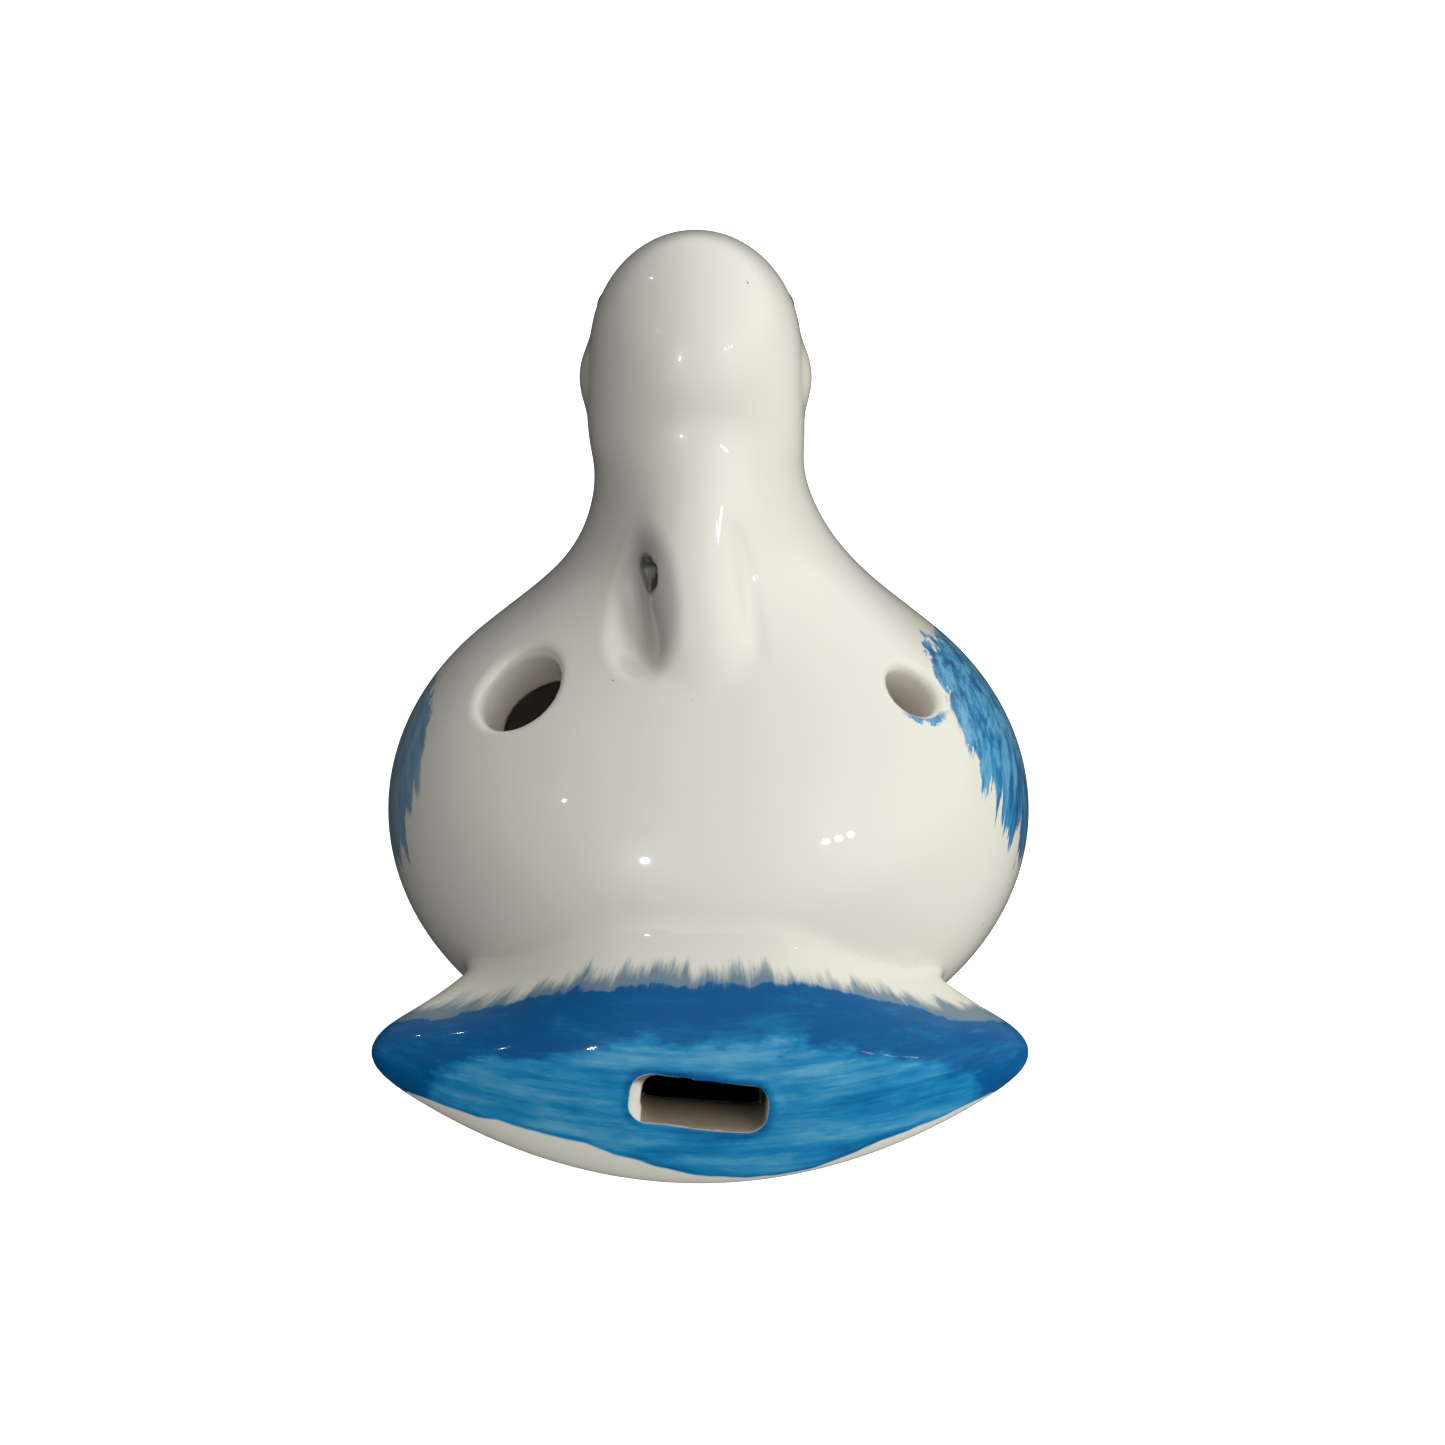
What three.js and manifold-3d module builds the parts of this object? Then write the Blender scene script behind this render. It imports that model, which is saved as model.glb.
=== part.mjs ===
// Bird-shaped ocarina: a hollow glazed clay dove that is blown through its tail.
// Millimetres. +Z up, the bird faces +Y, its tail and mouthpiece point to -Y.
// The clay pieces are modelled one by one, as they are before they are luted together.

import * as THREE from 'three';
import { LoftGeometry } from 'three/addons/geometries/LoftGeometry.js';
import { mergeVertices } from 'three/addons/utils/BufferGeometryUtils.js';
import Module from 'manifold-3d';

// Driving dimensions
const GAP = 0.3;                 // luting gap between neighbouring clay pieces
const WALL = 3.5;                // thickness of the clay wall

const BODY_HALF_WIDTH = 30.2;
const BODY_HALF_LENGTH = 27.3;
const BODY_HALF_HEIGHT = 22.3;
const BODY_CENTRE_Z = 19.9;      // less than the half height, so the foot is flat
const FOOT_ROUNDING = 1.5;
const BODY_SWAY = 0.8;            // the body was luted on a little to the right,
const HEAD_SWAY = -0.4;           // and the head a little to the left

const NECK_BASE = [0, 6.3, 32.3];
const NECK_TOP = [0, 14, 50];
const NECK_BASE_RADIUS = 10.4;
const NECK_TOP_RADIUS = 9.4;
const NECK_FILLET = 12.1;
const NAPE_CENTRE = [0, 9, 53];   // fills the back of the neck, so that it leans
const NAPE_RADII = [6.5, 5.9, 6.5];
const NAPE_FILLET = 4;

const HEAD_CENTRE = [0, 18.4, 58.8];
const HEAD_RADII = [9.7, 11.5, 10.7];
const HEAD_FILLET = 6;
const CHEEK_CENTRE = [6.7, 18.6, 55.5];
const CHEEK_RADII = [3.9, 4.2, 4.0];
const CHEEK_FILLET = 1.2;

const TAIL_HALF_WIDTH = 30.4;
const TAIL_ROOT = [-29.6, 14.5];  // y and z of the tail's axis at its widest
const TAIL_LIFT = 9.7;            // degrees that the tail's underside rises to the rear
const TAIL_FAN = 48.3;            // degrees that each side flares from straight back
const TAIL_REACH = 7.5;           // from TAIL_ROOT to the end face
const TAIL_END_RADIUS = 61;       // curve of the trailing edge, seen from above
const TAIL_KEEL = 7.4;            // how far the middle hangs below the tips
const TAIL_TIP_HALF = 2.05;
const TAIL_CROWN = 2.3;           // how far the middle stands above the tips
const TAIL_HUMP_END = 2.1;        // extra height of the middle at the end face
const TAIL_HUMP_SLOPE = 0.6;      // and how fast it grows towards the body
const TAIL_HUMP_WIDTH = 14;
const TAIL_LOWER_ROUNDING = 4;
const TAIL_UPPER_ROUNDING = 3.5;  // of the upper edge of the end face, at the tips
const TAIL_MIDDLE_ROUNDING = 3.5; // and this much more in the middle

const LEFT_HOLE = { at: [-16.8, -5, 38.1], axis: [-0.48, -0.15, 0.86], radius: 4.4 };
const RIGHT_HOLE = { at: [19.2, -4.4, 36.8], axis: [0.55, -0.14, 0.82], radius: 2.9 };

const MOUTH = { y: -37, z: 16.2, halfWidth: 6.1, halfHeight: 2.4, tilt: 6.5, depth: 4.6 };
const THROAT = { y: -26, halfWidth: 4.6, halfHeight: 0.8 };
const WINDWAY_SLOPE = 0.45;       // the windway drops this much for each mm forward
const WINDOW_HALF_WIDTH = 5;
const WINDOW_REAR_Y = -24.6;
const LABIUM_Y = -18.6;           // the sharp edge that splits the air
const WINDOW_TOP_Z = 12.2;

const NECK_JOINT = [0, 9, 44];    // the head shell is cut off across the neck here
const NECK_JOINT_TILT = 23.5;     // degrees forward

// Side view of the cord lug on the nape, as y and z from its upper to its lower foot.
const LOOP_OUTLINE = [
  [3.8, 51.6], [0.5, 52.4], [-3, 51.2], [-6, 48.6], [-8, 45.4], [-9.6, 41.6],
];
const LOOP_HALF_WIDTH = 2.7;
const LOOP_EYE = { at: [-2.1, 47], radius: 1.8 };
const SCOOP = { at: [4.9, -2.8, 46.6], radii: [3.4, 7, 3.2], lean: 36, rounding: 1.6 };

const BEAK_ROOT = [HEAD_SWAY, 26, 57];
const BEAK_LENGTH = 11.2;
const BEAK_DROOP = 2.4;
const BEAK_HALF_WIDTH = 4.4;
const BEAK_HALF_HEIGHT = 3.6;

const EYE_CENTRE = [7, 24.4, 59.5];
const EYE_RADIUS = 2.2;

const wasm = await Module();
wasm.setup();

// Smooth distance fields. Negative inside, positive outside.

function softMin(a, b, width) {
  const near = Math.max(width - Math.abs(a - b), 0) / width;
  return Math.min(a, b) - near * near * width * 0.25;
}

function softMax(a, b, width) {
  return -softMin(-a, -b, width);
}

function ellipsoid(x, y, z, centre, radii) {
  const dx = x - centre[0];
  const dy = y - centre[1];
  const dz = z - centre[2];
  const scaled = Math.hypot(dx / radii[0], dy / radii[1], dz / radii[2]);
  const slope = Math.hypot(dx / radii[0] ** 2, dy / radii[1] ** 2, dz / radii[2] ** 2);
  return scaled * (scaled - 1) / Math.max(slope, 1e-9);
}

function taperedRod(x, y, z, from, to, fromRadius, toRadius) {
  const along = [to[0] - from[0], to[1] - from[1], to[2] - from[2]];
  const length2 = along[0] ** 2 + along[1] ** 2 + along[2] ** 2;
  const dx = x - from[0];
  const dy = y - from[1];
  const dz = z - from[2];
  const dot = (dx * along[0] + dy * along[1] + dz * along[2]) / length2;
  const t = Math.min(Math.max(dot, 0), 1);
  const away = Math.hypot(dx - t * along[0], dy - t * along[1], dz - t * along[2]);
  return away - (fromRadius + (toRadius - fromRadius) * t);
}

// How far the bird's middle line stands to the right of the tail's, at a height.
function sway(z) {
  const t = THREE.MathUtils.smoothstep(z, 38, 55);
  return BODY_SWAY + (HEAD_SWAY - BODY_SWAY) * t;
}

// Body, neck, head and the two cheek mounds, without the tail or the flat foot.
function birdField(squareX, y, z) {
  const x = squareX - sway(z);
  const bodyCentre = [0, 0, BODY_CENTRE_Z];
  const bodyRadii = [BODY_HALF_WIDTH, BODY_HALF_LENGTH, BODY_HALF_HEIGHT];
  const body = ellipsoid(x, y, z, bodyCentre, bodyRadii);
  const neck = taperedRod(x, y, z, NECK_BASE, NECK_TOP, NECK_BASE_RADIUS, NECK_TOP_RADIUS);
  const head = ellipsoid(x, y, z, HEAD_CENTRE, HEAD_RADII);
  const cheek = ellipsoid(Math.abs(x), y, z, CHEEK_CENTRE, CHEEK_RADII);
  const nape = ellipsoid(x, y, z, NAPE_CENTRE, NAPE_RADII);
  const upper = softMin(softMin(neck, head, HEAD_FILLET), nape, NAPE_FILLET);
  return softMin(softMin(body, upper, NECK_FILLET), cheek, CHEEK_FILLET);
}

// A shallow hollow on each side of the cord lug, its long axis lying along the nape.
function scoopField(x, y, z) {
  const lean = THREE.MathUtils.degToRad(SCOOP.lean);
  const dy = y - SCOOP.at[1];
  const dz = z - SCOOP.at[2];
  const along = dy * Math.cos(lean) + dz * Math.sin(lean);
  const out = dz * Math.cos(lean) - dy * Math.sin(lean);
  return ellipsoid(Math.abs(x) - SCOOP.at[0], along, out, [0, 0, 0], SCOOP.radii);
}

function outerField(x, y, z) {
  const scooped = softMax(birdField(x, y, z), -scoopField(x, y, z), SCOOP.rounding);
  return softMax(scooped, -z, FOOT_ROUNDING);
}

function chamberField(x, y, z) {
  return softMax(birdField(x, y, z) + WALL, WALL - z, FOOT_ROUNDING);
}

// The fan-shaped tail: humped in the middle, keeled below, with a curved end face.
function tailField(x, y, z) {
  const lift = THREE.MathUtils.degToRad(TAIL_LIFT);
  const fan = THREE.MathUtils.degToRad(TAIL_FAN);
  const dy = y - TAIL_ROOT[0];
  const dz = z - TAIL_ROOT[1];
  const rear = -dy * Math.cos(lift) + dz * Math.sin(lift);
  const up = dy * Math.sin(lift) + dz * Math.cos(lift);
  const side = Math.abs(x);
  const share = (side / TAIL_HALF_WIDTH) ** 2;
  const rise = TAIL_HUMP_END + Math.max(y + 35, -3) * TAIL_HUMP_SLOPE;
  const hump = rise * Math.exp(-((side / TAIL_HUMP_WIDTH) ** 2));
  const top = (up - TAIL_CROWN * (1 - share) - TAIL_TIP_HALF - hump) * 0.88;
  const bottom = -up - TAIL_KEEL * (1 - share) - TAIL_TIP_HALF;
  const arc = Math.hypot(side, rear - TAIL_REACH + TAIL_END_RADIUS) - TAIL_END_RADIUS;
  const flank = (side - TAIL_HALF_WIDTH) * Math.cos(fan) - (rear + 3.1) * Math.sin(fan);
  const plan = softMax(arc, flank, 4.4);
  const upper = TAIL_UPPER_ROUNDING + TAIL_MIDDLE_ROUNDING * Math.exp(-((side / 16) ** 2));
  return softMax(softMax(plan, bottom, TAIL_LOWER_ROUNDING), top, upper);
}

// Distance from a start point, along a direction, to the field's zero level.
function castOut(field, start, dir, reach) {
  let inner = 0;
  let outer = 0;
  const step = 0.8;
  while (outer < reach) {
    outer += step;
    const probe = start.clone().addScaledVector(dir, outer);
    if (field(probe.x, probe.y, probe.z) > 0) break;
    inner = outer;
  }
  for (let i = 0; i < 26; i += 1) {
    const middle = (inner + outer) / 2;
    const probe = start.clone().addScaledVector(dir, middle);
    if (field(probe.x, probe.y, probe.z) > 0) outer = middle;
    else inner = middle;
  }
  return (inner + outer) / 2;
}

// One closed section of the field: a ring of points in the plane of across and over.
function ring(field, centre, across, over, count) {
  const left = castOut(field, centre, across.clone().negate(), 60);
  const right = castOut(field, centre, across, 60);
  const low = castOut(field, centre, over.clone().negate(), 60);
  const high = castOut(field, centre, over, 60);
  const points = [];
  for (let i = 0; i < count; i += 1) {
    const turn = (i / count) * Math.PI * 2;
    const c = Math.cos(turn);
    const s = Math.sin(turn);
    const dir = across.clone().multiplyScalar(-c * (c > 0 ? left : right));
    dir.addScaledVector(over, s * (s > 0 ? high : low));
    dir.normalize();
    const far = castOut(field, centre, dir, 60);
    points.push(centre.clone().addScaledVector(dir, far));
  }
  return points;
}

// Middle of the field's span along a line that starts outside it.
function spanMiddle(field, start, dir, reach) {
  let enter = null;
  let leave = null;
  for (let far = 0; far < reach; far += 0.25) {
    const probe = start.clone().addScaledVector(dir, far);
    const inside = field(probe.x, probe.y, probe.z) < 0;
    if (inside && enter === null) enter = far;
    if (inside) leave = far;
  }
  return enter === null ? null : start.clone().addScaledVector(dir, (enter + leave) / 2);
}

// Section planes for the bird: upright behind the hub, fanned round it, then level.
function birdRings(field, count, rearSteps, fanSteps, topSteps) {
  const hub = new THREE.Vector3(0, -12, 60);
  const across = new THREE.Vector3(1, 0, 0);
  const rings = [];
  const rearSpan = endOf(field, new THREE.Vector3(0, hub.y, BODY_CENTRE_Z), [0, -1, 0]);
  for (let i = 0; i < rearSteps; i += 1) {
    const part = Math.sin(((i + 0.35) / rearSteps) * Math.PI / 2);
    const y = hub.y - rearSpan * Math.sqrt(Math.max(1 - part * part, 0));
    const start = new THREE.Vector3(0, y, 60);
    const centre = spanMiddle(field, start, new THREE.Vector3(0, 0, -1), 70);
    rings.push(ring(field, centre, across, new THREE.Vector3(0, 0, 1), count));
  }
  for (let i = 0; i <= fanSteps; i += 1) {
    const turn = (i / fanSteps) * Math.PI / 2;
    const out = new THREE.Vector3(0, Math.sin(turn), -Math.cos(turn));
    const centre = spanMiddle(field, hub, out, 75);
    rings.push(ring(field, centre, across, out.clone().negate(), count));
  }
  const headMiddle = new THREE.Vector3(0, HEAD_CENTRE[1], hub.z);
  const topSpan = endOf(field, headMiddle, [0, 0, 1]);
  for (let i = 1; i <= topSteps; i += 1) {
    const z = hub.z + topSpan * Math.sin((i / (topSteps + 0.35)) * Math.PI / 2);
    const start = new THREE.Vector3(0, -12, z);
    const centre = spanMiddle(field, start, new THREE.Vector3(0, 1, 0), 60);
    rings.push(ring(field, centre, across, new THREE.Vector3(0, -1, 0), count));
  }
  return rings;
}

function endOf(field, start, dir) {
  return castOut(field, start, new THREE.Vector3(...dir), 60);
}

function tailRings(count, steps) {
  const middle = new THREE.Vector3(0, -20, 12);
  const span = endOf(tailField, middle, [0, -1, 0]);
  const rings = [];
  for (let i = 0; i < steps; i += 1) {
    const part = (i + 0.3) / steps;
    const y = middle.y - span + (span + 8) * part ** 1.7;
    const start = new THREE.Vector3(0, y, 60);
    const centre = spanMiddle(tailField, start, new THREE.Vector3(0, 0, -1), 70);
    rings.push(ring(tailField, centre, new THREE.Vector3(1, 0, 0), new THREE.Vector3(0, 0, 1), count));
  }
  return rings;
}

// Turning three.js geometry into solids and back

function solidOf(geometry) {
  const bare = new THREE.BufferGeometry();
  bare.setAttribute('position', geometry.getAttribute('position'));
  const index = geometry.getIndex();
  if (index) bare.setIndex(index);
  const merged = mergeVertices(bare, 1e-5);
  const mesh = new wasm.Mesh({
    numProp: 3,
    vertProperties: Float32Array.from(merged.getAttribute('position').array),
    triVerts: Uint32Array.from(merged.getIndex().array),
  });
  return new wasm.Manifold(mesh);
}

function loftSolid(rings) {
  return solidOf(new LoftGeometry(rings, { capStart: true, capEnd: true }));
}

function placed(geometry, matrix) {
  geometry.applyMatrix4(matrix);
  return solidOf(geometry);
}

function boxBetween(low, high) {
  const size = high.map((value, i) => value - low[i]);
  const box = new THREE.BoxGeometry(size[0], size[1], size[2]);
  box.translate(low[0] + size[0] / 2, low[1] + size[1] / 2, low[2] + size[2] / 2);
  return solidOf(box);
}

// A large block whose upper face lies in the given plane.
function blockUnder(point, tiltDegrees) {
  const box = new THREE.BoxGeometry(200, 200, 200);
  box.translate(0, 0, -100);
  box.rotateX(THREE.MathUtils.degToRad(-tiltDegrees));
  box.translate(point[0], point[1], point[2]);
  return solidOf(box);
}

function rodAlong(centre, axis, radius, length, sides) {
  const rod = new THREE.CylinderGeometry(radius, radius, length, sides);
  const up = new THREE.Vector3(0, 1, 0);
  const dir = new THREE.Vector3(...axis).normalize();
  const turn = new THREE.Quaternion().setFromUnitVectors(up, dir);
  const place = new THREE.Matrix4();
  place.compose(new THREE.Vector3(...centre), turn, new THREE.Vector3(1, 1, 1));
  return placed(rod, place);
}

function ovalBall(centre, radii, around, over) {
  const ball = new THREE.SphereGeometry(1, around, over);
  const place = new THREE.Matrix4();
  const size = new THREE.Vector3(...radii);
  place.compose(new THREE.Vector3(...centre), new THREE.Quaternion(), size);
  return placed(ball, place);
}

// Height of the windway's middle line, which aims at the labium.
function windwayZ(y) {
  return MOUTH.z - WINDWAY_SLOPE * (y - MOUTH.y);
}

// Windway: a round-ended pocket at the mouth that funnels down to a thin slit.
function windwayRings() {
  const tilt = THREE.MathUtils.degToRad(MOUTH.tilt);
  const wide = MOUTH.halfWidth;
  const tall = MOUTH.halfHeight;
  const pocketEnd = MOUTH.y + MOUTH.depth;
  const funnelY = pocketEnd + 2.2;
  return [
    slotRing(MOUTH.y - 7, MOUTH.z, wide, tall, tilt),
    slotRing(pocketEnd, MOUTH.z, wide, tall, tilt),
    slotRing(funnelY, windwayZ(funnelY), 5.4, 1.5, tilt / 2),
    slotRing(THROAT.y, windwayZ(THROAT.y), THROAT.halfWidth, THROAT.halfHeight, 0),
    slotRing(-21.5, windwayZ(-21.5), THROAT.halfWidth, THROAT.halfHeight, 0),
  ];
}

function slotRing(y, z, halfWidth, halfHeight, tilt) {
  const points = [];
  const straight = halfWidth - halfHeight;
  for (let i = 0; i < 24; i += 1) {
    const turn = ((i + 0.5) / 24) * Math.PI * 2;
    const x = Math.sign(Math.cos(turn)) * straight + Math.cos(turn) * halfHeight;
    const up = Math.sin(turn) * halfHeight;
    const px = x * Math.cos(tilt) - up * Math.sin(tilt);
    const pz = x * Math.sin(tilt) + up * Math.cos(tilt);
    points.push(new THREE.Vector3(-px, y, z + pz));
  }
  return points;
}

// The window below the tail root, and the ramp that sharpens the labium.
function windowCut() {
  const low = [-WINDOW_HALF_WIDTH, WINDOW_REAR_Y, -5];
  const high = [WINDOW_HALF_WIDTH, LABIUM_Y, WINDOW_TOP_Z];
  const shaft = boxBetween(low, high);
  const edgeZ = windwayZ(LABIUM_Y) - 0.4;
  const ramp = new THREE.Shape();
  ramp.moveTo(LABIUM_Y - 0.5, edgeZ);
  ramp.lineTo(LABIUM_Y, edgeZ);
  ramp.lineTo(-9.6, 0);
  ramp.lineTo(-9.6, -6);
  ramp.lineTo(LABIUM_Y - 0.5, -6);
  ramp.closePath();
  const depth = WINDOW_HALF_WIDTH * 2;
  return shaft.add(solidOf(acrossX(ramp, depth, { bevelEnabled: false })));
}

// Extrudes a side-view shape, drawn as y and z, through the given width along x.
function acrossX(shape, depth, options) {
  const geometry = new THREE.ExtrudeGeometry(shape, { depth, ...options });
  geometry.translate(0, 0, -depth / 2);
  const turn = new THREE.Matrix4();
  turn.set(0, 0, 1, 0, 1, 0, 0, 0, 0, 1, 0, 0, 0, 0, 0, 1);
  geometry.applyMatrix4(turn);
  return geometry;
}

// The cord lug on the nape: a strap that arches over the eye for the cord.
function loopBlock() {
  const shape = new THREE.Shape();
  const outline = LOOP_OUTLINE.map(([y, z]) => new THREE.Vector2(y, z));
  shape.moveTo(outline[0].x, outline[0].y);
  shape.splineThru(outline.slice(1));
  shape.lineTo(-3, 36);
  shape.lineTo(9, 40);
  shape.lineTo(8, 51);
  shape.closePath();
  const bevel = 1.7;
  const options = {
    bevelEnabled: true,
    bevelThickness: bevel,
    bevelSize: bevel,
    bevelOffset: -bevel,
    bevelSegments: 3,
    curveSegments: 3,
  };
  const block = solidOf(acrossX(shape, (LOOP_HALF_WIDTH - bevel) * 2, options));
  const eye = [0, LOOP_EYE.at[0], LOOP_EYE.at[1]];
  return block.subtract(rodAlong(eye, [1, 0, 0], LOOP_EYE.radius, 30, 20));
}

function beakRings() {
  const rings = [];
  const steps = 9;
  for (let i = 0; i <= steps; i += 1) {
    const part = i / steps;
    const full = Math.sqrt(Math.max(1 - part ** 2.2, 0.004));
    const y = BEAK_ROOT[1] + BEAK_LENGTH * part;
    const z = BEAK_ROOT[2] - BEAK_DROOP * part ** 1.6;
    const points = [];
    for (let j = 0; j < 24; j += 1) {
      const turn = (j / 24) * Math.PI * 2;
      const x = Math.cos(turn) * BEAK_HALF_WIDTH * full * (1 - 0.35 * part);
      const up = Math.sin(turn) * BEAK_HALF_HEIGHT * full;
      points.push(new THREE.Vector3(BEAK_ROOT[0] - x, y, z + up));
    }
    rings.push(points);
  }
  return rings;
}

// Clay and glaze

const whiteGlaze = new THREE.MeshStandardMaterial({
  name: 'white_glaze', color: 0xe4e2d4, roughness: 0.25, metalness: 0,
});
const blueGlaze = new THREE.MeshStandardMaterial({
  name: 'blue_glaze', color: 0x1e73af, roughness: 0.25, metalness: 0,
});
const darkGlaze = new THREE.MeshStandardMaterial({
  name: 'dark_glaze', color: 0x16181c, roughness: 0.2, metalness: 0,
});
const beakGlaze = new THREE.MeshStandardMaterial({
  name: 'beak_glaze', color: 0xb9854a, roughness: 0.3, metalness: 0,
});

// Whole bodies from which the pieces are cut

const grownField = (x, y, z) => outerField(x, y, z) - GAP;
const outer = loftSolid(birdRings(outerField, 40, 6, 22, 7));
const grown = loftSolid(birdRings(grownField, 40, 6, 22, 7));
const chamber = loftSolid(birdRings(chamberField, 28, 5, 16, 5));
const tail = loftSolid(tailRings(44, 15));
const windway = loftSolid(windwayRings());

const leftHole = rodAlong(LEFT_HOLE.at, LEFT_HOLE.axis, LEFT_HOLE.radius, 16, 32);
const rightHole = rodAlong(RIGHT_HOLE.at, RIGHT_HOLE.axis, RIGHT_HOLE.radius, 16, 24);
const shell = outer.subtract(chamber).subtract(leftHole).subtract(rightHole)
  .subtract(windowCut()).subtract(windway);

const neckUnder = blockUnder([0, NECK_JOINT[1], NECK_JOINT[2] - GAP / 2], NECK_JOINT_TILT);
const neckOver = blockUnder([0, NECK_JOINT[1], NECK_JOINT[2] + GAP / 2], NECK_JOINT_TILT);
const lowBlock = blockUnder([0, 0, BODY_CENTRE_Z - GAP / 2], 0);
const highBlock = blockUnder([0, 0, BODY_CENTRE_Z + GAP / 2], 0);

const tailTilt = THREE.MathUtils.radToDeg(Math.atan(WINDWAY_SLOPE));
const tailUnder = blockUnder([0, MOUTH.y, MOUTH.z - GAP / 2], tailTilt);
const tailOver = blockUnder([0, MOUTH.y, MOUTH.z + GAP / 2], tailTilt);
const hollowTail = tail.subtract(grown).subtract(windway).subtract(windowCut());

const pieces = [
  ['belly_shell', shell.intersect(lowBlock), whiteGlaze],
  ['back_shell', shell.subtract(highBlock).intersect(neckUnder), whiteGlaze],
  ['head_shell', shell.subtract(neckOver), whiteGlaze],
  ['tail_bottom', hollowTail.intersect(tailUnder), blueGlaze],
  ['tail_top', hollowTail.subtract(tailOver), blueGlaze],
  ['cord_loop', loopBlock().subtract(grown), whiteGlaze],
  ['beak', loftSolid(beakRings()).subtract(grown), beakGlaze],
];
for (const [name, side] of [['eye_left', -1], ['eye_right', 1]]) {
  const at = [HEAD_SWAY + EYE_CENTRE[0] * side, EYE_CENTRE[1], EYE_CENTRE[2]];
  const ball = ovalBall(at, [EYE_RADIUS, EYE_RADIUS, EYE_RADIUS], 24, 16);
  pieces.push([name, ball.subtract(grown), darkGlaze]);
}

// The row's origin: middle of the footprint, at the resting plane.
function middleOf(list) {
  const box = new THREE.Box3();
  for (const [, solid] of list) {
    const bounds = solid.boundingBox();
    box.expandByPoint(new THREE.Vector3(...bounds.min));
    box.expandByPoint(new THREE.Vector3(...bounds.max));
  }
  return [-(box.min.x + box.max.x) / 2, -(box.min.y + box.max.y) / 2, -box.min.z];
}

function meshOf(name, solid, material) {
  const data = solid.getMesh();
  const geometry = new THREE.BufferGeometry();
  const positions = Float32Array.from(data.vertProperties);
  geometry.setAttribute('position', new THREE.BufferAttribute(positions, 3));
  geometry.setIndex(Array.from(data.triVerts));
  geometry.computeVertexNormals();
  const mesh = new THREE.Mesh(geometry, material);
  mesh.name = name;
  return mesh;
}

const shift = middleOf(pieces);
const ocarina = new THREE.Group();
ocarina.name = 'ocarina';
for (const [name, solid, material] of pieces) {
  ocarina.add(meshOf(name, solid.translate(shift), material));
}

export default ocarina;
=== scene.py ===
"""Studio scene of a glazed clay ocarina in the form of a dove, over its CAD frame."""
import math

import bpy
import numpy as np
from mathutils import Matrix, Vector


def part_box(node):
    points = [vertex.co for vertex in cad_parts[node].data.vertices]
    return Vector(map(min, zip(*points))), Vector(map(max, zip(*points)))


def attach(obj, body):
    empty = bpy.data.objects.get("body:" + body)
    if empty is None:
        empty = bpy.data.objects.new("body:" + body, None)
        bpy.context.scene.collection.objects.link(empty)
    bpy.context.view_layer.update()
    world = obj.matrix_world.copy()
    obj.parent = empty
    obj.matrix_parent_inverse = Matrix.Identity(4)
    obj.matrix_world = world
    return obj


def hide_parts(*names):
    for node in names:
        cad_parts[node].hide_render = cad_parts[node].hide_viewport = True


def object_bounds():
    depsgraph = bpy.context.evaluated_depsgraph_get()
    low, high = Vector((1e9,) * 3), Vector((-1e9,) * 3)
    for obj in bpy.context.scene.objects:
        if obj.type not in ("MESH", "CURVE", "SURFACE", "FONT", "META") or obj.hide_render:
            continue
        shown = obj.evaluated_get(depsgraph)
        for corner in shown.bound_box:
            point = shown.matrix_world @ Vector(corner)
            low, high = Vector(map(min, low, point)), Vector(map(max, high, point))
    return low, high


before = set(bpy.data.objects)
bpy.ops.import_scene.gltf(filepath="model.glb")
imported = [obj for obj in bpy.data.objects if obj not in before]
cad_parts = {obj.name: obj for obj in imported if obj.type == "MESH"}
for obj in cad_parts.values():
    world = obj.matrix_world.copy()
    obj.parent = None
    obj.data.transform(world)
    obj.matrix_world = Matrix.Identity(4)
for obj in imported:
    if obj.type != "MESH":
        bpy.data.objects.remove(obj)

cad_low, cad_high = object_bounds()
belly_low, belly_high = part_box("belly_shell")

MM = 0.001
# How far the body and the head stand to the right of the tail's middle line, in mm.
BODY_SWAY = 0.8
HEAD_SWAY = -0.4
# The middle of the belly, at the plane the foot rests on, but on the tail's middle line.
# Shapes are drawn in mm from here.
ORIGIN = Vector(((belly_low.x + belly_high.x) / 2, (belly_low.y + belly_high.y) / 2, cad_low.z))
ORIGIN.x -= BODY_SWAY * MM

# ---------------------------------------------------------------------------
# Shape of the clay, as smooth distance fields in mm: negative inside.
# ---------------------------------------------------------------------------

WALL = 3.5
FOOT_EDGE = 1.5
BODY_CENTRE = (0, 0, 19.9)
BODY_RADII = (30.2, 27.3, 22.3)
HEAD_CENTRE = (0, 18.4, 58.8)
HEAD_RADII = (9.7, 11.5, 10.6)
# The joint of head and body: a point of its plane, as y and z, and the plane's tilt.
NECK_JOINT = (9.0, 44.0)
NECK_TILT = math.radians(23.5)
# Each finger hole: the middle of its mouth, its direction, its radius and its rounded rim.
LEFT_HOLE = ((-16.8, -5.0, 38.1), (-0.48, -0.15, 0.86), 4.15, 1.3)
RIGHT_HOLE = ((19.2, -4.4, 36.8), (0.55, -0.14, 0.82), 2.6, 1.1)
# The windway falls by this much for each mm forward from the mouth slot.
WINDWAY_SLOPE = 0.45
MOUTH_Y = -37.0
MOUTH_Z = 15.85
MOUTH_TILT = math.radians(6.5)
LABIUM_Y = -18.6
EYE = (7.0, 24.4, 59.5)
EYE_RADIUS = 2.2
# The middle of the cord lug's eye, as y and z, and how far the nape leans there.
LUG_EYE = (-2.1, 47.0)
LUG_LEAN = math.radians(36)
LUG_EYE_ALONG = 1.2
LUG_EYE_RADIUS = 1.0
LUG_EYE_STRETCH = 1.4
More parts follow.
